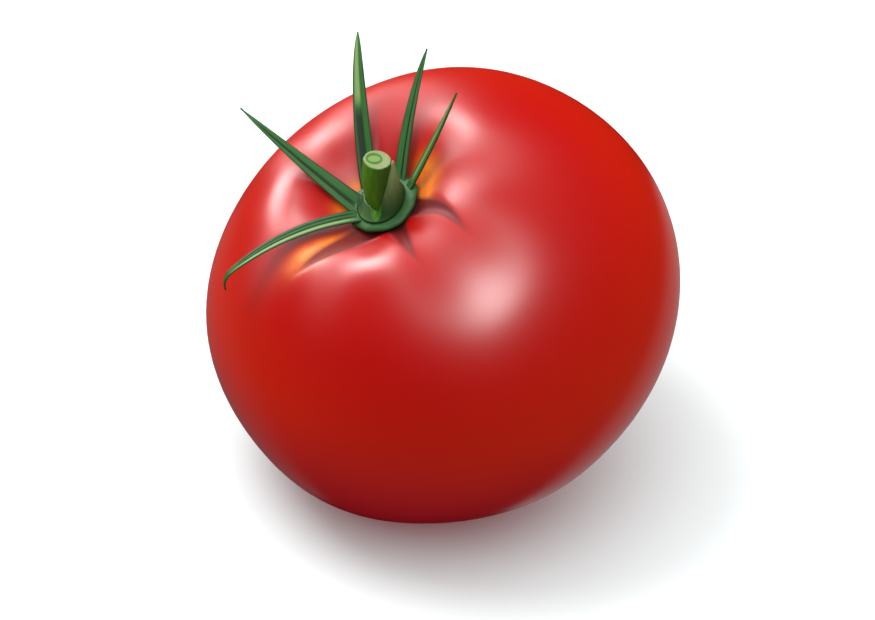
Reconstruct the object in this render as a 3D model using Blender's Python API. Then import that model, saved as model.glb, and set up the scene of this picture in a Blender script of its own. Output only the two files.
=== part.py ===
"""A ripe tomato at rest, with its five sepals, calyx disc, stem collar and cut stem.

Metres, +Z up. The origin is on the surface that the fruit rests on, straight below the
fruit's centre and inside the small flat spot that carries its weight. The fruit's own axis
leans away from the vertical, so the fruit and all that grows from its top hang from one
empty at the fruit's centre, and each is modelled about that axis.
"""
import math

import bmesh
import bpy
from mathutils import Matrix, Vector

# ---- Clearance between neighbouring pieces ----
GAP = 0.0003

# ---- Fruit: an oblate round body about its own axis ----
FRUIT_RADIUS = 0.038
FRUIT_HALF_HEIGHT = 0.031
DIMPLE_DEPTH = 0.0082        # hollow at the top, where the calyx sits
DIMPLE_RADIUS = 0.0112
DIMPLE_STEEPNESS = 2.5
BLOSSOM_DEPTH = 0.0012       # shallow hollow at the blossom end
BLOSSOM_RADIUS = 0.006
FLAT_DEPTH = 0.002           # how much of the round the resting flat takes off
BETWEEN_LOBES = -0.0155      # change of radius where there is no lobe, as a share
FRUIT_RINGS = 30
FRUIT_SEGMENTS = 48
RING_CROWDING = 0.1          # 0 spaces the rings evenly, more crowds them at both ends

# Each soft lobe of its outline: azimuth and spread in degrees, and swell as a share of the radius
LOBES = (
    (75, 25, 0.032),
    (176, 25, 0.030),
    (233, 18, 0.019),
    (289, 17, 0.020),
    (341, 65, 0.019),
)

# ---- How the fruit leans: its axis tilts from the vertical towards this heading ----
LEAN = math.radians(26)
LEAN_HEADING = math.radians(214)

# ---- Calyx disc, the green plate that the sepals and the stem grow from ----
DISC_RADIUS = 0.0050
DISC_THICKNESS = 0.00085     # at its rim; its underside follows the dimple
DISC_EDGE_ROUND = 0.00025
DISC_SEGMENTS = 32

# ---- Stem: round, bending over from the disc and cut square ----
STEM_RADIUS = 0.0021
STEM_LENGTH = 0.0089
STEM_TILT = math.radians(29)           # at the cut end
STEM_HEADING = math.radians(12.3)      # direction that it bends towards
STEM_EARLY_BEND = 0.5                  # share of the bend made near the foot
STEM_CUT_BEVEL = 0.0002
STEM_RINGS = 12
STEM_SEGMENTS = 24

# ---- Collar: the sheath round the stem's foot, low on the left and a tall fin on the right ----
COLLAR_INSET = 0.0009        # from the disc's rim to the collar's foot
FIN_TUCK = 0.0005            # how much further in the foot stands under the fin
COLLAR_EDGE = 0.0003         # thickness of its upper edge
COLLAR_HEIGHT = 0.0015
NOTCH_HEIGHT = 0.0004
NOTCH_AZIMUTH = math.radians(252)
NOTCH_WIDTH = math.radians(24)
FIN_RISE = 0.0003            # from the stem's cut end to the fin's tip
FIN_AZIMUTH = math.radians(350)
FIN_FRONT_SPREAD = math.radians(46)
FIN_BACK_SPREAD = math.radians(34)
COLLAR_LEVELS = 8
COLLAR_SEGMENTS = 48

# ---- Sepals: narrow folded leaves that start at the disc's rim ----
SEPAL_THICKNESS = 0.0006     # along the midrib
SEPAL_EDGE_SHARE = 0.45      # thickness of the margin, as a share of the midrib's
SEPAL_FOLD = 0.34            # rise of the margin over the midrib, per half width
SEPAL_SEAT_RADIUS = 0.0042   # where their lines start, inside the disc's rim
SEPAL_SEAT_DROP = 0.0005     # and how far they start below its upper face
SEPAL_STEPS = 160
SEPAL_TIP_WIDTH = 0.0003
SEPAL_ROOT_SHARE = 0.5       # width at the seat, as a share of the width further out
SEPAL_ROOT_REACH = 0.16      # share of the length over which the root widens
SEPAL_STATIONS = 18
SEPAL_ACROSS = 7
HOOK_START = 0.82            # share of the length where a hooked tip turns down

# Each sepal: azimuth of its seat, the turn of its line from that azimuth, its rise, curl and
# sway along the length, the hook of its tip (all in degrees), then its length and width in
# metres and the two powers of its taper.
SEPALS = {
    "sepal_front_left": (198.4, 1.5, 33.2, -45.8, 5.4, -64.9, 0.0252, 0.0027, 1.5, 0.60),
    "sepal_left": (168.5, -34.2, 27.8, -2.2, -5.5, 0.0, 0.0246, 0.0032, 1.0, 0.72),
    "sepal_back": (119.5, -33.8, 27.7, -4.8, -6.9, 0.0, 0.0250, 0.0028, 2.2, 0.60),
    "sepal_back_right": (48.3, 18.3, 30.2, -7.9, -9.2, 0.0, 0.0209, 0.0021, 2.0, 0.60),
    "sepal_right": (17.3, 9.3, 34.9, 4.5, 3.1, 0.0, 0.0174, 0.0015, 1.8, 0.60),
}

# ---- Colours (linear red, green, blue) and roughness ----
FRUIT_RED = (0.539, 0.007, 0.004)
DISC_GREEN = (0.045, 0.150, 0.040)
STEM_GREEN = (0.052, 0.165, 0.014)
COLLAR_GREEN = (0.100, 0.180, 0.050)
SEPAL_GREEN = (0.045, 0.150, 0.040)


def clear_scene():
    for obj in list(bpy.data.objects):
        bpy.data.objects.remove(obj, do_unlink=True)


def make_material(name, colour, roughness):
    material = bpy.data.materials.new(name)
    material.use_nodes = True
    shader = material.node_tree.nodes["Principled BSDF"]
    shader.inputs["Base Color"].default_value = (*colour, 1.0)
    shader.inputs["Roughness"].default_value = roughness
    shader.inputs["Metallic"].default_value = 0.0
    material.diffuse_color = (*colour, 1.0)
    return material


def add_object(name, mesh_data, material, parent, height=0.0, azimuth=0.0):
    """Turn a bmesh into an object on the fruit's axis, turned about it by an azimuth."""
    bmesh.ops.recalc_face_normals(mesh_data, faces=mesh_data.faces)
    mesh = bpy.data.meshes.new(name)
    mesh_data.to_mesh(mesh)
    mesh_data.free()
    mesh.materials.append(material)
    mesh.shade_smooth()
    mesh.set_sharp_from_angle(angle=math.radians(50))
    obj = bpy.data.objects.new(name, mesh)
    bpy.context.collection.objects.link(obj)
    obj.parent = parent
    obj.location = (0.0, 0.0, height)
    obj.rotation_euler = (0.0, 0.0, azimuth)
    return obj


def loft(mesh_data, rings):
    """Join closed rings of points into a tube and close both of its ends."""
    loops = [[mesh_data.verts.new(point) for point in ring] for ring in rings]
    for lower, upper in zip(loops, loops[1:]):
        join_loops(mesh_data, lower, upper)
    mesh_data.faces.new(list(reversed(loops[0])))
    mesh_data.faces.new(loops[-1])


def join_loops(mesh_data, first, second):
    count = len(first)
    for index in range(count):
        following = (index + 1) % count
        mesh_data.faces.new((first[index], first[following], second[following], second[index]))


def even_turns(count):
    return [2 * math.pi * index / count for index in range(count)]


def circle(radius, height, segments):
    return [Vector((radius * math.cos(turn), radius * math.sin(turn), height))
            for turn in even_turns(segments)]


def ease(value):
    """Smooth step from 0 to 1."""
    value = min(max(value, 0.0), 1.0)
    return value * value * (3 - 2 * value)


def signed_turn(azimuth, centre):
    """Angle from a centre direction to an azimuth, between -pi and pi."""
    return (azimuth - centre + math.pi) % (2 * math.pi) - math.pi


# ---- Fruit ----

def round_height(radius):
    """Half height of the plain round body at a distance from its axis."""
    share = min(radius / FRUIT_RADIUS, 1.0)
    return FRUIT_HALF_HEIGHT * math.sqrt(1 - share * share)


def fruit_top(radius):
    """Height of the fruit's upper skin over its centre, dimple included."""
    return round_height(radius) - DIMPLE_DEPTH * math.exp(-((radius / DIMPLE_RADIUS) ** DIMPLE_STEEPNESS))


def fruit_bottom(radius):
    """Height of the fruit's lower skin, blossom end included."""
    return BLOSSOM_DEPTH * math.exp(-((radius / BLOSSOM_RADIUS) ** 2)) - round_height(radius)


def lobe_share(azimuth, polar):
    """Change of the fruit's radius where it is lobed, fading out towards both ends."""
    swell = BETWEEN_LOBES
    for middle, spread, height in LOBES:
        away = math.degrees(signed_turn(azimuth, math.radians(middle))) / spread
        swell += height * math.exp(-away * away)
    return swell * math.sin(polar) ** 2


def fruit_ring(polar):
    """One level ring of the fruit's skin, at an angle down from its top end."""
    radius = FRUIT_RADIUS * math.sin(polar)
    height = fruit_top(radius) if polar < math.pi / 2 else fruit_bottom(radius)
    ring = []
    for azimuth in even_turns(FRUIT_SEGMENTS):
        lobed = radius * (1 + lobe_share(azimuth, polar))
        ring.append(Vector((lobed * math.cos(azimuth), lobed * math.sin(azimuth), height)))
    return ring


def centre_height():
    """Height of the fruit's centre over the surface, once the flat is taken off."""
    reach = math.hypot(FRUIT_RADIUS * math.sin(LEAN), FRUIT_HALF_HEIGHT * math.cos(LEAN))
    return reach - FLAT_DEPTH


def lean_axis():
    """Level line that the fruit turns about to lean towards its heading."""
    return Vector((-math.sin(LEAN_HEADING), math.cos(LEAN_HEADING), 0.0))


def make_fruit_axis():
    """Empty at the fruit's centre, with its Z along the fruit's own axis."""
    empty = bpy.data.objects.new("fruit_axis", None)
    bpy.context.collection.objects.link(empty)
    empty.empty_display_size = FRUIT_RADIUS
    lean = Matrix.Rotation(LEAN, 4, lean_axis())
    empty.matrix_world = Matrix.Translation((0.0, 0.0, centre_height())) @ lean
    return empty


def cut_flat(mesh_data):
    """Slice off the round below the resting surface and close the cut with a fan."""
    world_down = Matrix.Rotation(-LEAN, 3, lean_axis()) @ Vector((0.0, 0.0, -1.0))
    geometry = mesh_data.verts[:] + mesh_data.edges[:] + mesh_data.faces[:]
    cut = bmesh.ops.bisect_plane(
        mesh_data, geom=geometry, dist=1e-6, clear_outer=True,
        plane_co=world_down * centre_height(), plane_no=world_down)
    rim = [item for item in cut["geom_cut"] if isinstance(item, bmesh.types.BMEdge)]
    flat = bmesh.ops.edgeloop_fill(mesh_data, edges=rim)
    bmesh.ops.poke(mesh_data, faces=flat["faces"])


def make_fruit(parent, material):
    body = bmesh.new()
    rings = []
    for index in range(1, FRUIT_RINGS):
        share = index / FRUIT_RINGS
        rings.append(fruit_ring(math.pi * (share - RING_CROWDING * math.sin(2 * math.pi * share))))
    loft(body, rings)
    body.faces.ensure_lookup_table()
    ends = [face for face in body.faces if len(face.verts) == FRUIT_SEGMENTS]
    poles = bmesh.ops.poke(body, faces=ends)["verts"]
    for pole in poles:
        pole.co.z = fruit_top(0.0) if pole.co.z > 0 else fruit_bottom(0.0)
    cut_flat(body)
    add_object("fruit", body, material, parent)


# ---- Calyx disc ----

def disc_top():
    """Height of the disc's upper face over the fruit's centre."""
    return fruit_top(DISC_RADIUS) + GAP + DISC_THICKNESS


def seat_height():
    """Height that the stem and its collar stand at, a gap above the disc."""
    return disc_top() + GAP


def make_calyx_disc(parent, material):
    disc = bmesh.new()
    inner = DISC_RADIUS - DISC_EDGE_ROUND
    top = disc_top()
    rings = []
    for share in (0.3, 0.65, 0.88):
        radius = DISC_RADIUS * share
        rings.append(circle(radius, fruit_top(radius) + GAP, DISC_SEGMENTS))
    underside = fruit_top(DISC_RADIUS) + GAP
    rings.append(circle(DISC_RADIUS, underside + DISC_EDGE_ROUND, DISC_SEGMENTS))
    rings.append(circle(DISC_RADIUS, top - DISC_EDGE_ROUND, DISC_SEGMENTS))
    rings.append(circle(inner, top, DISC_SEGMENTS))
    base = fruit_top(0.0)
    lowered = [[point - Vector((0.0, 0.0, base)) for point in ring] for ring in rings]
    loft(disc, lowered)
    add_object("calyx_disc", disc, material, parent, height=base)


# ---- Stem and its collar, in a frame whose X is the way that the stem bends ----

def stem_tilt(along):
    """Tilt of the stem's line from the fruit's axis, at a distance from its foot."""
    share = min(along / STEM_LENGTH, 1.0)
    early = 1 - math.exp(-4 * share)
    return STEM_TILT * (STEM_EARLY_BEND * early + (1 - STEM_EARLY_BEND) * share)


def stem_point(along):
    """Point of the stem's middle line at a distance from its foot."""
    steps = 24
    point = Vector((0.0, 0.0, 0.0))
    for index in range(steps):
        tilt = stem_tilt(along * (index + 0.5) / steps)
        point += Vector((math.sin(tilt), 0.0, math.cos(tilt))) * (along / steps)
    return point


def stem_surface(along, turn, radius):
    """Point at a radius round the stem's line, turned from the way that it bends."""
    tilt = stem_tilt(along)
    side = Vector((math.cos(tilt), 0.0, -math.sin(tilt)))
    across = Vector((0.0, 1.0, 0.0))
    return stem_point(along) + (side * math.cos(turn) + across * math.sin(turn)) * radius


def make_stem(parent, material):
    stem = bmesh.new()
    turns = even_turns(STEM_SEGMENTS)
    shaft = STEM_LENGTH - STEM_CUT_BEVEL
    levels = [(shaft * index / STEM_RINGS, STEM_RADIUS) for index in range(STEM_RINGS + 1)]
    levels.append((STEM_LENGTH, STEM_RADIUS - STEM_CUT_BEVEL))
    loft(stem, [[stem_surface(along, turn, radius) for turn in turns] for along, radius in levels])
    add_object("stem", stem, material, parent, height=seat_height(), azimuth=STEM_HEADING)


def collar_top(azimuth):
    """Height of the collar's upper edge, along the stem, and how much of a fin it is."""
    from_fin = signed_turn(azimuth, FIN_AZIMUTH)
    spread = FIN_BACK_SPREAD if from_fin > 0 else FIN_FRONT_SPREAD
    fin = math.exp(-abs(from_fin / spread) ** 1.6)
    notch = math.exp(-(signed_turn(azimuth, NOTCH_AZIMUTH) / NOTCH_WIDTH) ** 2)
    low = COLLAR_HEIGHT + (NOTCH_HEIGHT - COLLAR_HEIGHT) * notch
    tall = STEM_LENGTH + FIN_RISE
    return low + (tall - low) * fin * (1 - 0.8 * notch), fin


def collar_section(azimuth):
    """Closed outline of the collar at one azimuth: up its inside and down its outside."""
    top, fin = collar_top(azimuth)
    turn = azimuth - STEM_HEADING
    outward = Vector((math.cos(turn), math.sin(turn), 0.0))
    foot = DISC_RADIUS - COLLAR_INSET - FIN_TUCK * fin - STEM_RADIUS - GAP
    fullness = 0.6 + 2.2 * fin
    inside = []
    outside = []
    for index in range(COLLAR_LEVELS + 1):
        share = index / COLLAR_LEVELS
        point = stem_surface(top * share, turn, STEM_RADIUS + GAP)
        wall = COLLAR_EDGE + (foot - COLLAR_EDGE) * (1 - share ** fullness)
        inside.append(point)
        outside.append(point + outward * wall)
    return inside + list(reversed(outside))


def make_stem_collar(parent, material):
    collar = bmesh.new()
    loops = []
    for azimuth in even_turns(COLLAR_SEGMENTS):
        loops.append([collar.verts.new(point) for point in collar_section(azimuth)])
    for first, second in zip(loops, loops[1:] + loops[:1]):
        join_loops(collar, first, second)
    add_object("stem_collar", collar, material, parent, height=seat_height(), azimuth=STEM_HEADING)


# ---- Sepals, each in a frame whose X points from the fruit's axis to its seat ----

def sepal_root_height():
    """Height of the sepals' lines at their seats."""
    return disc_top() - SEPAL_SEAT_DROP


def sepal_line(turn, rise, curl, sway, hook, length):
    """Points, headings and pitches along a sepal's midrib, from its seat to its tip."""
    point = Vector((SEPAL_SEAT_RADIUS, 0.0, 0.0))
    step = length / SEPAL_STEPS
    line = []
    for index in range(SEPAL_STEPS + 1):
        share = index / SEPAL_STEPS
        yaw = math.radians(turn + sway * share)
        bend = hook * ease((share - HOOK_START) / (1 - HOOK_START))
        pitch = math.radians(rise + curl * share + bend)
        line.append((share, lift_clear(point), yaw, pitch))
        level = math.cos(pitch)
        point = point + step * Vector((level * math.cos(yaw), level * math.sin(yaw), math.sin(pitch)))
    return line


def lift_clear(point):
    """Keep a sepal's midrib clear of the fruit's shoulder."""
    radius = math.hypot(point.x, point.y)
    lowest = fruit_top(radius) - sepal_root_height() + GAP + SEPAL_THICKNESS
    return Vector((point.x, point.y, max(point.z, lowest)))


def stands_clear(point):
    """Whether a point of a sepal keeps its gap to the disc and to the collar's foot."""
    radius = math.hypot(point.x, point.y)
    beside = max(radius - DISC_RADIUS, 0.0)
    above = max(point.z - SEPAL_SEAT_DROP, 0.0)
    return math.hypot(beside, above) > GAP and radius > DISC_RADIUS - COLLAR_INSET + GAP


def sepal_section(point, yaw, pitch, half_width, thickness):
    """Closed outline across a sepal: a shallow V, thick at the midrib and thin at the margins."""
    across = Vector((-math.sin(yaw), math.cos(yaw), 0.0))
    back = -math.sin(pitch)
    up = Vector((back * math.cos(yaw), back * math.sin(yaw), math.cos(pitch)))
    upper = []
    lower = []
    for index in range(SEPAL_ACROSS):
        side = 2 * index / (SEPAL_ACROSS - 1) - 1
        middle = point + across * side * half_width + up * SEPAL_FOLD * abs(side) * half_width
        half = 0.5 * thickness * (1 - (1 - SEPAL_EDGE_SHARE) * side * side)
        upper.append(middle + up * half)
        lower.append(middle - up * half)
    return upper + list(reversed(lower))


def make_sepal(name, parent, material):
    seat, turn, rise, curl, sway, hook, length, width, belly, taper = SEPALS[name]
    blade = []
    for share, point, yaw, pitch in sepal_line(turn, rise, curl, sway, hook, length):
        narrowing = (1 - share ** belly) ** taper
        root = SEPAL_ROOT_SHARE + (1 - SEPAL_ROOT_SHARE) * ease(share / SEPAL_ROOT_REACH)
        half_width = 0.5 * max(width * narrowing * root, SEPAL_TIP_WIDTH)
        thickness = SEPAL_THICKNESS * (0.4 + 0.6 * narrowing)
        section = sepal_section(point, yaw, pitch, half_width, thickness)
        if all(stands_clear(corner) for corner in section):
            blade.append(section)
    spacing = (len(blade) - 1) / (SEPAL_STATIONS - 1)
    kept = [blade[round(index * spacing)] for index in range(SEPAL_STATIONS)]
    leaf = bmesh.new()
    loft(leaf, kept)
    height = sepal_root_height()
    add_object(name, leaf, material, parent, height=height, azimuth=math.radians(seat))


def main():
    clear_scene()
    fruit_axis = make_fruit_axis()
    make_fruit(fruit_axis, make_material("fruit_skin", FRUIT_RED, 0.25))
    make_calyx_disc(fruit_axis, make_material("calyx_disc_green", DISC_GREEN, 0.6))
    make_stem(fruit_axis, make_material("stem_green", STEM_GREEN, 0.5))
    make_stem_collar(fruit_axis, make_material("collar_green", COLLAR_GREEN, 0.55))
    for name in SEPALS:
        make_sepal(name, fruit_axis, make_material(name + "_green", SEPAL_GREEN, 0.6))
    bpy.context.view_layer.update()


main()
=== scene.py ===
import math

import bpy
from mathutils import Matrix, Vector


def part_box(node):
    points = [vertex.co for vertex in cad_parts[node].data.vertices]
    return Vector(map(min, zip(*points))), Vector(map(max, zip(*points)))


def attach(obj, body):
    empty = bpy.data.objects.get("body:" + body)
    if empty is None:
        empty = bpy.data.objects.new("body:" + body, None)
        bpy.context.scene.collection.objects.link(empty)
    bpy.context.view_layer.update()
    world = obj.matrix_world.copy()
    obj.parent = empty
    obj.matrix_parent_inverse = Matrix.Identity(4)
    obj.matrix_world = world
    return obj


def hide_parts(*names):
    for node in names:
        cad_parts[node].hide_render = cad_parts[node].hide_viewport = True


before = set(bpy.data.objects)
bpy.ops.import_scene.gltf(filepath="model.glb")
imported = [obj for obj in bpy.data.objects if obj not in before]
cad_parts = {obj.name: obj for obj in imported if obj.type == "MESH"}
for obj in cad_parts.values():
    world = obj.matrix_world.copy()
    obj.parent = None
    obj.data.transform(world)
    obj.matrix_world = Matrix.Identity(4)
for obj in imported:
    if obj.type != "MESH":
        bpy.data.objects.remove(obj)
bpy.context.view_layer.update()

MM = 0.001

# ---- The fruit's shape: the same driving sizes as the CAD model ----
FRUIT_RADIUS = 38 * MM
FRUIT_HALF_HEIGHT = 31 * MM
DIMPLE_DEPTH = 8.2 * MM
DIMPLE_RADIUS = 11.2 * MM
DIMPLE_STEEPNESS = 2.5
BLOSSOM_DEPTH = 1.2 * MM
BLOSSOM_RADIUS = 6 * MM
LEAN = math.radians(26)
LEAN_HEADING = math.radians(214)
BETWEEN_LOBES = -0.0155
LOBES = (           # azimuth and spread in degrees, swell as a share of the radius
    (75, 25, 0.032),
    (176, 25, 0.030),
    (233, 18, 0.019),
    (289, 17, 0.020),
    (341, 65, 0.019),
)
FRUIT_RINGS = 230
FRUIT_SEGMENTS = 288
RING_CROWDING = 0.11          # how much closer the rings lie near both ends
FLAT_ROUNDING = 0.35 * MM     # how softly the skin turns into the resting flat
FACET_INSET = 0.997           # keeps the round skin within the CAD body's flat facets

# Furrows that run out from the calyx: azimuths at their inner and outer ends in degrees,
# inner and outer distance from the axis, half width and depth at the inner end.
FURROWS = (
    (234, 218, 4.6 * MM, 19.0 * MM, 2.1 * MM, 1.0 * MM),
    (290, 291, 4.6 * MM, 18.5 * MM, 1.3 * MM, 0.8 * MM),
    (344, 315, 4.6 * MM, 21.0 * MM, 1.5 * MM, 0.95 * MM),
    (96, 84, 4.6 * MM, 15.0 * MM, 1.0 * MM, 0.2 * MM),
    (150, 148, 4.6 * MM, 15.0 * MM, 1.0 * MM, 0.2 * MM),
)
FURROW_SHADED = 0.55 * MM     # depth at which a furrow has its full painted shade

# Where the skin of the shoulder is duller: azimuth and spread in degrees, and strength
DULL = (
    (2, 17, 0.9),
    (80, 33, 1.1),
    (138, 9, 0.7),
    (203, 15, 1.1),
    (240, 12, 0.7),
    (290, 14, 1.2),
    (320, 14, 1.1),
)
SHOULDER_RADIUS = 16 * MM
SHOULDER_SPREAD = 8 * MM

# The upper front, where the light falls strongest, is a deeper, darker red and the sides a paler
# orange-red: partly ripening colour, partly painted shading that evens out the light. The lower
# part gets a crimson tint, painted shade.
RIPE_AND_SHADING_HEADING = math.radians(-108)
RIPE_AND_SHADING_ELEVATION = math.radians(62)
RIPE_AND_SHADING_FULL = 38                # degrees from that direction where the red is deepest
RIPE_AND_SHADING_FADED = 84
BOTTOM_SHADE_TOP = 34 * MM         # heights between which the painted crimson shade comes in
BOTTOM_SHADE_FULL = 5 * MM
SCAR_SPREAD = 1.6 * MM        # size of the brown scar at the blossom end

# Orange blush round the calyx: azimuth, distance, spread round the axis in degrees,
# spread away from it, and strength.
BLUSH = (
    (20, 7.9 * MM, 21, 2.3 * MM, 1.15),
    (356, 6.6 * MM, 16, 1.8 * MM, 1.0),
    (220, 9.5 * MM, 9, 4.4 * MM, 1.2),
    (215, 15.0 * MM, 6, 3.0 * MM, 0.8),
    (166, 6.4 * MM, 16, 1.6 * MM, 1.0),
    (134, 6.0 * MM, 16, 1.4 * MM, 1.0),
)

# ---- Calyx disc, stem and collar ----
GAP = 0.3 * MM
DISC_RADIUS = 5.0 * MM
DISC_THICKNESS = 0.85 * MM
DISC_FOOT_GAP = 0.15 * MM     # between the skin and the disc's underside
DISC_SEGMENTS = 128
# The disc's outline from its foot to its top: share of the radius and share of the height
DISC_OUTLINE = (
    (0.25, 0), (0.6, 0), (0.86, 0), (0.97, 0.12), (1.0, 0.45),
    (0.985, 0.8), (0.93, 1.0), (0.8, 1.02), (0.6, 1.05), (0.3, 1.05),
)
STEM_RADIUS = 2.1 * MM
STEM_LENGTH = 8.9 * MM
STEM_TILT = math.radians(29)
STEM_HEADING = math.radians(12.3)
STEM_EARLY_BEND = 0.5
STEM_STEPS = 24               # straight steps that its bent line is added up from
STEM_SEGMENTS = 72
STEM_SINK = 0.25 * MM         # how far its foot reaches below the seat
COLLAR_INSET = 0.9 * MM
FIN_TUCK = 0.5 * MM           # how much further in the collar's foot lies at its fin
COLLAR_EDGE = 0.3 * MM        # thickness of the wall at its upper edge
COLLAR_HEIGHT = 1.5 * MM
NOTCH_HEIGHT = 0.4 * MM
NOTCH_AZIMUTH = math.radians(252)
NOTCH_WIDTH = math.radians(24)
FIN_RISE = 0.3 * MM
FIN_AZIMUTH = math.radians(350)
FIN_FRONT_SPREAD = math.radians(46)
FIN_BACK_SPREAD = math.radians(34)
COLLAR_LEVELS = 18
COLLAR_SEGMENTS = 180
STRIP_SPREAD = 26             # degrees either side of the notch where the stem's green runs down
TONGUE_AZIMUTH = math.radians(214)      # middle of the collar's paler front, a painted highlight on its flare
TONGUE_SPREAD = 24            # degrees

# The green ring on the cut face and the pale core inside it: how far off the middle they lie,
# and their sizes, as shares of the stem's radius.
RING_OFFSET = (-0.20, 0.14)
RING_REACH = 0.60
CORE_REACH = (0.46, 0.32)

# ---- Sepals ----
SEPAL_SEAT_RADIUS = 4.2 * MM
SEPAL_SEAT_DROP = 0.5 * MM    # how far below the disc's top its line starts
SEPAL_THICKNESS = 0.6 * MM
SEPAL_EDGE_SHARE = 0.45       # thickness at the edge, as a share of that at the middle
SEPAL_FOLD = 0.34             # rise of each half from the fold, as a share of its width
SEPAL_TIP_WIDTH = 0.3 * MM
HOOK_START = 0.82             # share of the length where a hooked tip turns down
SEPAL_STEPS = 110
SEPAL_POINTS_ACROSS = 49
# Each sepal: azimuth of its seat, the turn of its line from that azimuth, its rise, curl and
# sway along the length and the hook of its tip, all in degrees, then its length and width and
# the two powers that its width tapers by.
SEPALS = {
    "sepal_front_left": (198.4, 1.5, 33.2, -45.8, 5.4, -64.9, 25.2 * MM, 2.7 * MM, 1.5, 0.60),
    "sepal_left": (168.5, -34.2, 27.8, -2.2, -5.5, 0.0, 24.6 * MM, 3.2 * MM, 1.0, 0.72),
    "sepal_back": (119.5, -33.8, 27.7, -4.8, -6.9, 0.0, 25.0 * MM, 2.8 * MM, 2.2, 0.60),
    "sepal_back_right": (48.3, 18.3, 30.2, -7.9, -9.2, 0.0, 20.9 * MM, 2.1 * MM, 2.0, 0.60),
    "sepal_right": (17.3, 9.3, 34.9, 4.5, 3.1, 0.0, 17.4 * MM, 1.5 * MM, 1.8, 0.60),
}

# Stripes along each sepal: place across it from -1 to 1, half width, where along the leaf it
# starts and ends, and its tone: painted shade in a crease below 0 and a painted highlight on a
# ridge above 0.
STRIPES = {
    "sepal_front_left": (
        (-0.48, 0.12, 0.03, 0.80, -0.9),
        (0.02, 0.12, 0.03, 0.78, -1.0),
        (0.50, 0.24, 0.06, 0.80, 1.0),
    ),
    "sepal_left": ((0.12, 0.20, 0.02, 0.85, -1.0),),
    "sepal_back": (
        (0.30, 0.46, 0.10, 0.50, -1.0),
        (0.30, 0.40, 0.55, 1.00, 0.9),
    ),
    "sepal_back_right": ((-0.15, 0.17, 0.03, 0.92, -1.0),),
    "sepal_right": ((0.12, 0.34, 0.12, 0.92, 0.9),),
}
STRIPE_FADE = 0.12            # share of the leaf over which a stripe fades at its ends
CREASE_DEPTH = 0.07 * MM

# ---- Lights and camera ----
LIGHT_DISTANCE = 0.7
# Each softbox: azimuth and elevation in degrees, radius, strength, and whether it lights the
# matt part of a surface and whether it shines in the gloss.
LIGHTS = {
    "left_softbox": (160, 62, 0.22, 2.6, True, False),
    "front_softbox": (-77, 57, 0.165, 18.0, False, True),
    "back_softbox": (131, 29, 0.19, 11.5, False, True),
    "high_softbox": (116, 48, 0.12, 7.6, False, True),
    "right_rim": (45, -42, 0.35, 0.55, False, True),
    "left_rim": (140, -38, 0.35, 0.2, False, True),
}
FLOOR_HALF = 6.0              # half the floor's width
FILL_LOW = 0.40               # brightness of the studio dome near the horizon and overhead
FILL_HIGH = 2.05
CAMERA_ELEVATION = math.radians(38)
CAMERA_DISTANCE = 0.4218
CAMERA_AIM_LEFT = 0.73 * MM   # how far beside and below the fruit's centre the camera aims
CAMERA_AIM_DOWN = 2.54 * MM
CAMERA_LENS = 110
CAMERA_SENSOR = 36


# ---- Small shape helpers ----

def ease(value):
    """Smooth step from 0 to 1."""
    value = min(max(value, 0.0), 1.0)
    return value * value * (3 - 2 * value)


def bell(value, middle, spread):
    """Bell curve, 1 at its middle."""
    away = (value - middle) / spread
    return math.exp(-away * away)


def signed_turn(azimuth, centre):
    """Angle from a centre direction to an azimuth, between -pi and pi."""
    return (azimuth - centre + math.pi) % (2 * math.pi) - math.pi


def heading(azimuth, elevation):
    """Unit vector towards an azimuth and an elevation."""
    level = math.cos(elevation)
    return Vector((level * math.cos(azimuth), level * math.sin(azimuth), math.sin(elevation)))


def even_turns(count):
    return [2 * math.pi * index / count for index in range(count)]


# ---- Where the fruit stands, from the frame ----

def lean_matrix():
    """Turn of the fruit's own frame, whose Z is its axis, into the model's frame."""
    level_line = Vector((-math.sin(LEAN_HEADING), math.cos(LEAN_HEADING), 0.0))
    return Matrix.Rotation(LEAN, 3, level_line)


def fruit_centre():
    """The fruit's centre: as far below the top of its box as the lean of its axis gives."""
    low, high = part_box("fruit")
    reach = math.hypot(FRUIT_RADIUS * math.sin(LEAN), FRUIT_HALF_HEIGHT * math.cos(LEAN))
    return Vector((0.0, 0.0, high[2] - reach))


TURN = lean_matrix()
CENTRE = fruit_centre()


def placed(point):
    """A point given in the fruit's own frame, in the model's frame."""
    return CENTRE + TURN @ point


# ---- Mesh building ----

def ring_mesh(name, rings, values, closed_round=True, end_points=(None, None)):
    """A closed mesh from rings of points in the model's frame.

    values maps each attribute's name to its number at every point, in the same order as the
    rings. end_points close the first and last ring on a single point each; otherwise the rings
    themselves join up into a loop when closed_round is false.
    """
    count = len(rings[0])
    points = [point for ring in rings for point in ring]
    faces = []
    spans = len(rings) - 1 if closed_round else len(rings)
    for row in range(spans):
        here = row * count
        above = ((row + 1) % len(rings)) * count
        for index in range(count):
            following = (index + 1) % count
            faces.append((here + index, here + following, above + following, above + index))
    for end, ring_start in zip(end_points, (0, (len(rings) - 1) * count)):
        if end is None:
            continue
        points.append(end)
        for index in range(count):
            following = (index + 1) % count
            pair = (ring_start + index, ring_start + following)
            if ring_start == 0:
                pair = (pair[1], pair[0])
            faces.append((*pair, len(points) - 1))
    mesh = bpy.data.meshes.new(name)
    mesh.from_pydata([tuple(point) for point in points], [], faces)
    for key, numbers in values.items():
        layer = mesh.attributes.new(key, "FLOAT", "POINT")
        layer.data.foreach_set("value", numbers + [numbers[-1]] * (len(points) - len(numbers)))
    mesh.shade_smooth()
    mesh.update()
    piece = bpy.data.objects.new(name, mesh)
    bpy.context.collection.objects.link(piece)
    return piece


def hand_over(piece, node, material):
    """Put a finished piece in the place of its CAD node."""
    piece.data.materials.append(material)
    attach(piece, "root")
    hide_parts(node)


# ---- Material building ----

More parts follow.
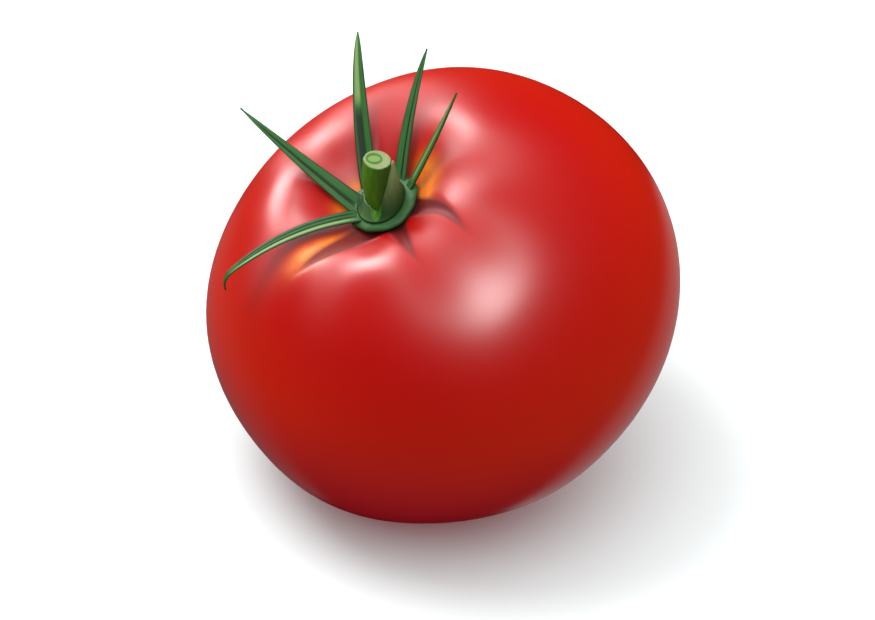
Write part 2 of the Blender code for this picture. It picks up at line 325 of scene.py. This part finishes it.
class Nodes:
    """Short ways to add the nodes of one material."""

    def __init__(self, name):
        self.material = bpy.data.materials.new(name)
        self.material.use_nodes = True
        self.tree = self.material.node_tree
        self.shader = self.tree.nodes["Principled BSDF"]

    def link(self, source, target):
        self.tree.links.new(source, target)

    def attribute(self, name):
        node = self.tree.nodes.new("ShaderNodeAttribute")
        node.attribute_name = name
        return node.outputs["Fac"]

    def noise(self, size, detail=2.0, stretch=(1, 1, 1)):
        """Noise whose features are about a size across, between 0 and 1."""
        place = self.tree.nodes.new("ShaderNodeTexCoord").outputs["Object"]
        mapping = self.tree.nodes.new("ShaderNodeMapping")
        mapping.inputs["Scale"].default_value = stretch
        self.link(place, mapping.inputs["Vector"])
        node = self.tree.nodes.new("ShaderNodeTexNoise")
        node.inputs["Scale"].default_value = 1 / size
        node.inputs["Detail"].default_value = detail
        self.link(mapping.outputs["Vector"], node.inputs["Vector"])
        return node.outputs["Fac"]

    def grain(self, lengthways, crossways):
        """Noise drawn out along a leaf, from the names of its two measures and their scales."""
        place = self.tree.nodes.new("ShaderNodeCombineXYZ")
        for socket, (name, scale) in zip(("X", "Y"), (lengthways, crossways)):
            self.link(self.math("MULTIPLY", self.attribute(name), scale), place.inputs[socket])
        node = self.tree.nodes.new("ShaderNodeTexNoise")
        node.inputs["Scale"].default_value = 1.0
        node.inputs["Detail"].default_value = 3.0
        self.link(place.outputs["Vector"], node.inputs["Vector"])
        return node.outputs["Fac"]

    def ramp(self, value, low, high, start=0.0, end=1.0):
        """Map a value from low..high to start..end, smoothly and clamped."""
        node = self.tree.nodes.new("ShaderNodeMapRange")
        node.interpolation_type = "SMOOTHSTEP"
        node.inputs["From Min"].default_value = low
        node.inputs["From Max"].default_value = high
        node.inputs["To Min"].default_value = start
        node.inputs["To Max"].default_value = end
        self.link(value, node.inputs["Value"])
        return node.outputs["Result"]

    def math(self, operation, first, second):
        node = self.tree.nodes.new("ShaderNodeMath")
        node.operation = operation
        for socket, value in zip(node.inputs, (first, second)):
            if isinstance(value, (int, float)):
                socket.default_value = value
            else:
                self.link(value, socket)
        return node.outputs["Value"]

    def mix(self, share, first, second):
        """Blend two colours, each a socket or linear red, green and blue."""
        node = self.tree.nodes.new("ShaderNodeMix")
        node.data_type = "RGBA"
        self.link(share, node.inputs["Factor"])
        for key, colour in (("A", first), ("B", second)):
            socket = [item for item in node.inputs if item.name == key and item.type == "RGBA"][0]
            if isinstance(colour, tuple):
                socket.default_value = (*colour, 1.0)
            else:
                self.link(colour, socket)
        return [item for item in node.outputs if item.type == "RGBA"][0]

    def bump(self, height, depth, strength=1.0):
        node = self.tree.nodes.new("ShaderNodeBump")
        node.inputs["Distance"].default_value = depth
        node.inputs["Strength"].default_value = strength
        self.link(height, node.inputs["Height"])
        self.link(node.outputs["Normal"], self.shader.inputs["Normal"])

    def fixed(self, **settings):
        """Set sockets of the shader that are the same all over the surface."""
        for key, value in settings.items():
            self.shader.inputs[key.replace("_", " ")].default_value = value


def linear(red, green, blue):
    """Linear colour from display values between 0 and 255."""
    def one(value):
        value /= 255
        return value / 12.92 if value <= 0.04045 else ((value + 0.055) / 1.055) ** 2.4
    return (one(red), one(green), one(blue))


# ---- Fruit ----

def round_height(radius):
    """Height of the plain round body over its middle, at a distance from its axis."""
    share = min(radius / FRUIT_RADIUS, 1.0)
    return FRUIT_HALF_HEIGHT * math.sqrt(1 - share * share)


def fruit_top(radius):
    hollow = math.exp(-((radius / DIMPLE_RADIUS) ** DIMPLE_STEEPNESS))
    return round_height(radius) - DIMPLE_DEPTH * hollow


def fruit_bottom(radius):
    return BLOSSOM_DEPTH * bell(radius, 0.0, BLOSSOM_RADIUS) - round_height(radius)


def lobe_share(azimuth, polar):
    """Change of the fruit's radius where it is lobed, fading out towards both ends."""
    swell = BETWEEN_LOBES
    for middle, spread, height in LOBES:
        away = math.degrees(signed_turn(azimuth, math.radians(middle)))
        swell += height * bell(away, 0.0, spread)
    return swell * math.sin(polar) ** 2


def furrow_share(radius, azimuth, furrow):
    """How deep a point of the shoulder lies in a furrow, from 0 to 1."""
    inner_turn, outer_turn, inner, outer, half_width, depth = furrow
    share = (radius - inner) / (outer - inner)
    if share >= 1.0:
        return 0.0
    share = max(share, 0.0)
    middle = math.radians(inner_turn + (outer_turn - inner_turn) * share ** 0.7)
    across = abs(signed_turn(azimuth, middle)) * radius
    narrowing = half_width * (1 - share) ** 0.75
    return (1 - share ** 1.6) * math.exp(-((across / max(narrowing, 1e-6)) ** 2))


def blush_share(radius, azimuth):
    """How orange the skin is round the calyx, from 0 to 1."""
    total = 0.0
    for middle, distance, spread, reach, strength in BLUSH:
        away = math.degrees(signed_turn(azimuth, math.radians(middle)))
        total += strength * bell(away, 0.0, spread) * bell(radius, distance, reach)
    return min(total, 1.0)


def dull_share(radius, azimuth):
    """How dull the skin of the shoulder is between its shiny swellings, 0 where it is shiny."""
    total = 0.0
    for middle, spread, strength in DULL:
        away = math.degrees(signed_turn(azimuth, math.radians(middle)))
        total += strength * bell(away, 0.0, spread)
    return total * bell(radius, SHOULDER_RADIUS, SHOULDER_SPREAD)


def ripe_share(point):
    """How deep and dark the red is at a point of the fruit, from 0 to 1: partly ripening colour,
    partly painted shading that darkens where the light falls strongest.
    """
    away = math.degrees((point - CENTRE).angle(heading(RIPE_AND_SHADING_HEADING, RIPE_AND_SHADING_ELEVATION)))
    return 1 - ease((away - RIPE_AND_SHADING_FULL) / (RIPE_AND_SHADING_FADED - RIPE_AND_SHADING_FULL))


def settle(point):
    """Round the skin off softly where it meets the surface that it rests on."""
    point.z = 0.5 * (point.z + math.hypot(point.z, FLAT_ROUNDING))
    return point


def make_fruit():
    rings = []
    values = {key: [] for key in ("furrow", "blush", "dull", "ripe", "bottom_shade", "blossom")}
    for index in range(1, FRUIT_RINGS):
        share = index / FRUIT_RINGS
        polar = math.pi * (share - RING_CROWDING * math.sin(2 * math.pi * share))
        radius = FRUIT_RADIUS * math.sin(polar)
        upper = polar < math.pi / 2
        height = fruit_top(radius) if upper else fruit_bottom(radius)
        ring = []
        for azimuth in even_turns(FRUIT_SEGMENTS):
            lobed = radius * (1 + lobe_share(azimuth, polar)) * FACET_INSET
            shares = [furrow_share(radius, azimuth, furrow) if upper else 0.0 for furrow in FURROWS]
            depth = sum(amount * furrow[5] for amount, furrow in zip(shares, FURROWS))
            local = Vector((lobed * math.cos(azimuth), lobed * math.sin(azimuth), height - depth))
            point = settle(placed(local))
            ring.append(point)
            values["furrow"].append(min(depth / FURROW_SHADED, 1.0))
            values["blush"].append(blush_share(radius, azimuth) if upper else 0.0)
            values["dull"].append(dull_share(radius, azimuth) if upper else 0.0)
            values["ripe"].append(ripe_share(point))
            values["bottom_shade"].append(ease((BOTTOM_SHADE_TOP - point.z) / (BOTTOM_SHADE_TOP - BOTTOM_SHADE_FULL)))
            values["blossom"].append(0.0 if upper else bell(radius, 0.0, SCAR_SPREAD))
        rings.append(ring)
    ends = tuple(settle(placed(Vector((0, 0, end)))) for end in (fruit_top(0.0), fruit_bottom(0.0)))
    piece = ring_mesh("fruit_body", rings, values, end_points=ends)
    hand_over(piece, "fruit", fruit_material())


def fruit_material():
    nodes = Nodes("tomato_skin")
    patches = nodes.noise(16 * MM, 2.0)
    red = nodes.mix(nodes.ramp(patches, 0.2, 0.8), linear(206, 32, 6), linear(208, 38, 8))
    # partly ripening colour, partly painted shading: a deeper, darker red on the upper front where
    # the light is strongest
    red = nodes.mix(nodes.attribute("ripe"), red, linear(170, 5, 2))
    # painted shade: a crimson tint towards the bottom of the fruit, by height above the floor
    red = nodes.mix(nodes.attribute("bottom_shade"), red, linear(190, 17, 38))
    edge = nodes.ramp(nodes.noise(3 * MM), 0.3, 0.6, 0.75, 1.0)
    orange = nodes.math("MULTIPLY", nodes.attribute("blush"), edge)
    red = nodes.mix(orange, red, linear(236, 126, 34))
    furrow = nodes.attribute("furrow")
    # painted shade: the furrows are darkened to a deep maroon
    red = nodes.mix(nodes.ramp(furrow, 0.1, 0.75, 0.0, 0.95), red, linear(112, 3, 4))
    scar = nodes.ramp(nodes.attribute("blossom"), 0.45, 0.7)
    red = nodes.mix(scar, red, linear(120, 84, 48))
    nodes.link(red, nodes.shader.inputs["Base Color"])
    rough = nodes.ramp(nodes.noise(6 * MM), 0.0, 1.0, 0.276, 0.286)
    dulled = nodes.math("MULTIPLY", nodes.attribute("dull"), 0.45)
    inside = nodes.math("MULTIPLY", nodes.ramp(furrow, 0.0, 0.3), 0.4)
    rough = nodes.math("ADD", rough, nodes.math("MAXIMUM", dulled, inside))
    nodes.link(rough, nodes.shader.inputs["Roughness"])
    nodes.bump(nodes.noise(2.2 * MM, 1.0), 0.01 * MM, 0.2)
    nodes.fixed(IOR=1.45, Specular_IOR_Level=0.2)
    return nodes.material


# ---- Calyx disc ----

def disc_top():
    return fruit_top(DISC_RADIUS) + GAP + DISC_THICKNESS


def seat_height():
    return disc_top() + GAP


def disc_rim(azimuth):
    """Radius of the disc's rim, with a shallow scallop between the sepals."""
    radius = DISC_RADIUS + 0.25 * MM
    for seat, turn, *_ in SEPALS.values():
        away = math.degrees(signed_turn(azimuth, math.radians(seat + 0.35 * turn)))
        radius += 0.45 * MM * bell(away, 0.0, 16)
    radius += 0.10 * MM * math.sin(5 * azimuth + 1.0) + 0.05 * MM * math.sin(11 * azimuth)
    return radius


def make_calyx_disc():
    top = disc_top()
    rings = []
    rise = []
    for reach, level in DISC_OUTLINE:
        ring = []
        for azimuth in even_turns(DISC_SEGMENTS):
            radius = disc_rim(azimuth) * reach
            under = fruit_top(radius) + DISC_FOOT_GAP
            height = under + (top - under) * level
            local = Vector((radius * math.cos(azimuth), radius * math.sin(azimuth), height))
            ring.append(placed(local))
            rise.append(level)
        rings.append(ring)
    ends = tuple(placed(Vector((0, 0, end))) for end in (fruit_top(0.0) + DISC_FOOT_GAP, top))
    piece = ring_mesh("calyx_plate", rings, {"rise": rise}, end_points=ends)
    hand_over(piece, "calyx_disc", disc_material())


def disc_material():
    nodes = Nodes("calyx_plate_green")
    mottle = nodes.ramp(nodes.noise(1.2 * MM, 3.0), 0.3, 0.7)
    green = nodes.mix(mottle, linear(42, 86, 42), linear(52, 98, 50))
    low = nodes.ramp(nodes.attribute("rise"), 0.0, 0.8, 0.6, 0.0)
    green = nodes.mix(low, green, linear(16, 56, 22))
    nodes.link(green, nodes.shader.inputs["Base Color"])
    nodes.bump(nodes.noise(0.4 * MM, 4.0), 0.03 * MM, 0.7)
    nodes.fixed(Roughness=0.6, Specular_IOR_Level=0.08)
    return nodes.material


# ---- Stem and collar ----

def stem_tilt(along):
    """How far the stem leans from the fruit's axis at a length along it."""
    share = min(along / STEM_LENGTH, 1.0)
    early = 1 - math.exp(-4 * share)
    return STEM_TILT * (STEM_EARLY_BEND * early + (1 - STEM_EARLY_BEND) * share)


def stem_point(along):
    """The stem's middle at a length along it, in the frame that it bends in."""
    point = Vector((0.0, 0.0, 0.0))
    for index in range(STEM_STEPS):
        tilt = stem_tilt(along * (index + 0.5) / STEM_STEPS)
        point += Vector((math.sin(tilt), 0.0, math.cos(tilt))) * (along / STEM_STEPS)
    return point


def stem_surface(along, turn, radius):
    """Point at a radius round the stem's line, in the frame that it bends in."""
    tilt = stem_tilt(along)
    side = Vector((math.cos(tilt), 0.0, -math.sin(tilt)))
    across = Vector((0.0, 1.0, 0.0))
    return stem_point(along) + (side * math.cos(turn) + across * math.sin(turn)) * radius


def from_stem_frame(point):
    """A point of the stem's frame, which stands on the disc, in the model's frame."""
    turned = Matrix.Rotation(STEM_HEADING, 3, "Z") @ point
    return placed(turned + Vector((0.0, 0.0, seat_height())))


def stem_levels():
    """The stem's rings: length along it, share of its radius, and share of the cut's colour."""
    levels = [(-STEM_SINK, 1.0, 0.0)]
    levels += [((STEM_LENGTH - 0.25 * MM) * index / 28, 1.0, 0.0) for index in range(29)]
    levels += [(STEM_LENGTH - 0.10 * MM, 0.985, 0.0), (STEM_LENGTH, 0.95, 0.5)]
    for index in range(18):
        levels.append((STEM_LENGTH - 0.05 * MM * (index / 16), 0.92 - 0.05 * index, 1.0))
    return levels


def make_stem():
    rings = []
    values = {key: [] for key in ("cut", "ring", "core", "side")}
    for along, reach, cut in stem_levels():
        ring = []
        for turn in even_turns(STEM_SEGMENTS):
            ribs = 0.012 * math.sin(7 * turn + 0.6) + 0.006 * math.sin(17 * turn)
            radius = STEM_RADIUS * reach * (1 + ribs * (1 - cut))
            ring.append(from_stem_frame(stem_surface(along, turn, radius)))
            x = reach * math.cos(turn) - RING_OFFSET[0]
            y = reach * math.sin(turn) - RING_OFFSET[1]
            values["cut"].append(cut)
            values["ring"].append(math.hypot(x, y) / RING_REACH)
            values["core"].append(math.hypot(x / CORE_REACH[0], y / CORE_REACH[1]))
            # painted shade: how far round the stem faces the fin, where its green is darkened
            values["side"].append(0.5 + 0.5 * math.cos(turn + STEM_HEADING - FIN_AZIMUTH))
        rings.append(ring)
    foot = from_stem_frame(stem_point(0.0) - Vector((0, 0, STEM_SINK)))
    tip = from_stem_frame(stem_point(STEM_LENGTH - 0.05 * MM))
    piece = ring_mesh("cut_stem", rings, values, end_points=(foot, tip))
    hand_over(piece, "stem", stem_material())


def stem_material():
    nodes = Nodes("stem_green")
    fibres = nodes.noise(0.5 * MM, 3.0, stretch=(1, 1, 0.12))
    green = nodes.mix(nodes.ramp(fibres, 0.3, 0.7), linear(66, 120, 16), linear(80, 138, 26))
    # painted shade: the stem's side towards the fin is darker
    fin_side_shade = nodes.ramp(nodes.attribute("side"), 0.2, 0.9, 0.0, 0.75)
    green = nodes.mix(fin_side_shade, green, linear(40, 80, 22))
    grain = nodes.ramp(nodes.noise(0.25 * MM, 3.0), 0.3, 0.7)
    pale = nodes.mix(grain, linear(122, 136, 86), linear(134, 148, 98))
    ring = nodes.ramp(nodes.attribute("ring"), 1.08, 0.92)
    pale = nodes.mix(ring, pale, linear(62, 108, 18))
    core = nodes.ramp(nodes.attribute("core"), 1.1, 0.85)
    pale = nodes.mix(core, pale, linear(112, 144, 74))
    nodes.link(nodes.mix(nodes.attribute("cut"), green, pale), nodes.shader.inputs["Base Color"])
    nodes.bump(fibres, 0.03 * MM, 0.6)
    nodes.fixed(Roughness=0.5, Specular_IOR_Level=0.12)
    return nodes.material


def collar_top(azimuth):
    """Height of the collar's upper edge along the stem, and how much of a fin it is."""
    from_fin = signed_turn(azimuth, FIN_AZIMUTH)
    spread = FIN_BACK_SPREAD if from_fin > 0 else FIN_FRONT_SPREAD
    fin = math.exp(-abs(from_fin / spread) ** 1.6)
    notch = bell(signed_turn(azimuth, NOTCH_AZIMUTH), 0.0, NOTCH_WIDTH)
    low = COLLAR_HEIGHT + (NOTCH_HEIGHT - COLLAR_HEIGHT) * notch
    tall = STEM_LENGTH + FIN_RISE
    return low + (tall - low) * fin * (1 - 0.8 * notch), fin


def collar_section(azimuth):
    """Closed outline of the collar at one azimuth, with each point's height along the stem."""
    top, fin = collar_top(azimuth)
    turn = azimuth - STEM_HEADING
    outward = Vector((math.cos(turn), math.sin(turn), 0.0))
    foot = DISC_RADIUS - COLLAR_INSET - FIN_TUCK * fin - STEM_RADIUS - GAP
    fullness = 0.6 + 2.2 * fin
    inside = []
    outside = []
    for index in range(COLLAR_LEVELS + 1):
        share = index / COLLAR_LEVELS
        point = stem_surface(top * share, turn, STEM_RADIUS + 0.05 * MM)
        wall = COLLAR_EDGE + (foot + GAP - COLLAR_EDGE) * (1 - share ** fullness)
        inside.append((from_stem_frame(point), share))
        outside.append((from_stem_frame(point + outward * wall), share))
    return inside + list(reversed(outside)), top


def make_stem_collar():
    rings = []
    values = {key: [] for key in ("height", "strip", "tongue")}
    for azimuth in even_turns(COLLAR_SEGMENTS):
        section, top = collar_section(azimuth)
        from_notch = math.degrees(abs(signed_turn(azimuth, NOTCH_AZIMUTH)))
        from_tongue = math.degrees(signed_turn(azimuth, TONGUE_AZIMUTH))
        rings.append([point for point, share in section])
        for point, share in section:
            reach = STRIP_SPREAD * share ** 0.7
            values["height"].append(share * top / STEM_LENGTH)
            values["strip"].append(ease((reach - from_notch) / 6 + 0.5) * ease(share / 0.2))
            values["tongue"].append(bell(from_tongue, 0.0, TONGUE_SPREAD))
    piece = ring_mesh("stem_sheath", rings, values, closed_round=False)
    hand_over(piece, "stem_collar", collar_material())


def collar_material():
    nodes = Nodes("collar_green")
    # painted shade at the collar's dark foot and a painted highlight in its pale olive top along
    # the fin
    foot_shade_top_highlight = nodes.ramp(nodes.attribute("height"), 0.0, 0.9)
    green = nodes.mix(foot_shade_top_highlight, linear(26, 66, 20), linear(126, 148, 92))
    # painted highlight: a pale olive tongue on the collar's front
    tongue = nodes.math("MULTIPLY", nodes.attribute("tongue"), 0.8)
    green = nodes.mix(tongue, green, linear(84, 120, 70))
    green = nodes.mix(nodes.attribute("strip"), green, linear(62, 116, 20))
    streaks = nodes.ramp(nodes.noise(0.6 * MM, 3.0, stretch=(1, 1, 0.3)), 0.3, 0.7, 0.0, 0.25)
    green = nodes.mix(streaks, green, linear(34, 74, 26))
    nodes.link(green, nodes.shader.inputs["Base Color"])
    nodes.fixed(Roughness=0.55, Specular_IOR_Level=0.1)
    return nodes.material


# ---- Sepals ----

def sepal_line(turn, rise, curl, sway, hook, length):
    """Points, headings and pitches along a sepal's midrib, from its seat to its tip."""
    point = Vector((SEPAL_SEAT_RADIUS, 0.0, 0.0))
    step = length / SEPAL_STEPS
    line = []
    for index in range(SEPAL_STEPS + 1):
        share = index / SEPAL_STEPS
        yaw = math.radians(turn + sway * share)
        bend = hook * ease((share - HOOK_START) / (1 - HOOK_START))
        pitch = math.radians(rise + curl * share + bend)
        line.append((share, point, yaw, pitch))
        point = point + step * heading(yaw, pitch)
    return line


def stripe_tones(name, side, share):
    """How far a point of a sepal lies in its painted crease shade and under its painted ridge
    highlights, each 0 to 1.
    """
    painted_shade = 0.0
    pale = 0.0
    for middle, half_width, start, end, tone in STRIPES[name]:
        length_share = (ease((share - start) / STRIPE_FADE + 0.5)
                        * ease((end - share) / STRIPE_FADE + 0.5))
        amount = abs(tone) * length_share * math.exp(-abs((side - middle) / half_width) ** 5)
        if tone < 0:
            painted_shade = max(painted_shade, amount)
        else:
            pale = max(pale, amount)
    return painted_shade, pale


def make_sepal(name):
    seat, turn, rise, curl, sway, hook, length, width, belly, taper = SEPALS[name]
    seat_turn = Matrix.Rotation(math.radians(seat), 3, "Z")
    lift = Vector((0.0, 0.0, disc_top() - SEPAL_SEAT_DROP))
    rings = []
    values = {key: [] for key in ("across", "along", "painted_shade", "pale", "margin")}
    for share, point, yaw, pitch in sepal_line(turn, rise, curl, sway, hook, length):
        narrowing = (1 - share ** belly) ** taper
        half_width = 0.5 * max(width * narrowing, SEPAL_TIP_WIDTH)
        thickness = SEPAL_THICKNESS * (0.4 + 0.6 * narrowing)
        sideways = Vector((-math.sin(yaw), math.cos(yaw), 0.0))
        back = -math.sin(pitch)
        up = Vector((back * math.cos(yaw), back * math.sin(yaw), math.cos(pitch)))
        upper = []
        lower = []
        for index in range(SEPAL_POINTS_ACROSS):
            side = 2 * index / (SEPAL_POINTS_ACROSS - 1) - 1
            fold = SEPAL_FOLD * half_width * (math.hypot(side, 0.15) - 0.15)
            middle = point + sideways * side * half_width + up * fold
            thinning = (1 - (1 - SEPAL_EDGE_SHARE) * side * side) * (1 - side ** 8 * 0.6)
            half = 0.5 * thickness * thinning
            painted_shade, pale = stripe_tones(name, side, share)
            relief = CREASE_DEPTH * narrowing * (0.6 * pale - painted_shade)
            margin = ease((abs(side) - 0.78) / 0.16)
            upper.append((middle + up * (half + relief), side, painted_shade, pale, margin))
            lower.append((middle - up * half, side, 0.0, 0.2, 0.5 * margin))
        outline = upper + list(reversed(lower))
        rings.append([placed(seat_turn @ item[0] + lift) for item in outline])
        values["across"] += [item[1] * half_width / MM for item in outline]
        values["painted_shade"] += [item[2] for item in outline]
        values["pale"] += [item[3] for item in outline]
        values["margin"] += [item[4] for item in outline]
        values["along"] += [share * length / MM] * len(outline)
    ends = tuple(sum(ring, Vector()) / len(ring) for ring in (rings[0], rings[-1]))
    piece = ring_mesh(name + "_leaf", rings, values, end_points=ends)
    hand_over(piece, name, sepal_material(name))


def sepal_material(name):
    nodes = Nodes(name + "_green")
    grain = nodes.grain(("along", 0.25), ("across", 5.0))
    green = nodes.mix(nodes.ramp(grain, 0.3, 0.7), linear(34, 86, 32), linear(44, 98, 40))
    # painted highlights on the ridges, then painted shade in the creases
    green = nodes.mix(nodes.attribute("pale"), green, linear(116, 146, 80))
    green = nodes.mix(nodes.attribute("painted_shade"), green, linear(6, 34, 6))
    margin = nodes.ramp(nodes.attribute("margin"), 0.0, 1.0, 0.0, 0.95)
    green = nodes.mix(margin, green, linear(8, 42, 12))
    nodes.link(green, nodes.shader.inputs["Base Color"])
    nodes.bump(grain, 0.03 * MM, 0.5)
    nodes.fixed(Roughness=0.6, Specular_IOR_Level=0.08)
    return nodes.material


# ---- Floor, lights and camera in the scene ----

def make_floor():
    mesh = bpy.data.meshes.new("floor")
    sides = ((-1, -1), (1, -1), (1, 1), (-1, 1))
    corners = [(x * FLOOR_HALF, y * FLOOR_HALF, 0.0) for x, y in sides]
    mesh.from_pydata(corners, [], [(0, 1, 2, 3)])
    floor = bpy.data.objects.new("floor", mesh)
    bpy.context.collection.objects.link(floor)
    nodes = Nodes("floor_white")
    nodes.fixed(Base_Color=(0.84, 0.90, 0.90, 1.0), Roughness=1.0, Specular_IOR_Level=0.0)
    mesh.materials.append(nodes.material)
    floor.visible_diffuse = False
    floor.visible_glossy = False
    floor.visible_shadow = False


def make_lights():
    """Round softboxes, all facing the fruit from the same distance."""
    for name, (azimuth, elevation, radius, strength, diffuse, glossy) in LIGHTS.items():
        light = bpy.data.lights.new(name, "AREA")
        light.shape = "DISK"
        light.size = 2 * radius
        light.energy = strength
        holder = bpy.data.objects.new(name, light)
        bpy.context.collection.objects.link(holder)
        direction = heading(math.radians(azimuth), math.radians(elevation))
        holder.location = CENTRE + direction * LIGHT_DISTANCE
        holder.rotation_euler = direction.to_track_quat("Z", "Y").to_euler()
        holder.visible_diffuse = diffuse
        holder.visible_glossy = glossy
        holder.visible_camera = False


def make_world():
    """A soft studio dome, brightest overhead, that only gives the even fill."""
    world = bpy.data.worlds.new("studio")
    world.use_nodes = True
    tree = world.node_tree
    split = tree.nodes.new("ShaderNodeSeparateXYZ")
    place = tree.nodes.new("ShaderNodeTexCoord")
    tree.links.new(place.outputs["Generated"], split.inputs["Vector"])
    fill = tree.nodes.new("ShaderNodeMapRange")
    fill.interpolation_type = "SMOOTHSTEP"
    fill.inputs["From Min"].default_value = 0.3
    fill.inputs["From Max"].default_value = 1.0
    fill.inputs["To Min"].default_value = FILL_LOW
    fill.inputs["To Max"].default_value = FILL_HIGH
    tree.links.new(split.outputs["Z"], fill.inputs["Value"])
    background = tree.nodes["Background"]
    tree.links.new(fill.outputs["Result"], background.inputs["Strength"])
    background.inputs["Color"].default_value = (1.0, 1.0, 1.0, 1.0)
    bpy.context.scene.world = world
    world.cycles_visibility.glossy = False


def make_camera():
    back = Vector((0.0, -math.cos(CAMERA_ELEVATION), math.sin(CAMERA_ELEVATION)))
    right = Vector((1.0, 0.0, 0.0))
    up = back.cross(right)
    aim = CENTRE - right * CAMERA_AIM_LEFT - up * CAMERA_AIM_DOWN
    data = bpy.data.cameras.new("camera")
    data.lens = CAMERA_LENS
    data.sensor_width = CAMERA_SENSOR
    camera = bpy.data.objects.new("camera", data)
    bpy.context.collection.objects.link(camera)
    facing = Matrix((right, up, back)).transposed().to_4x4()
    camera.matrix_world = Matrix.Translation(aim + back * CAMERA_DISTANCE) @ facing
    bpy.context.scene.camera = camera


make_camera()
make_world()
make_lights()
make_floor()
make_fruit()
make_calyx_disc()
make_stem()
make_stem_collar()
for sepal in SEPALS:
    make_sepal(sepal)
bpy.context.scene.view_settings.view_transform = "Standard"
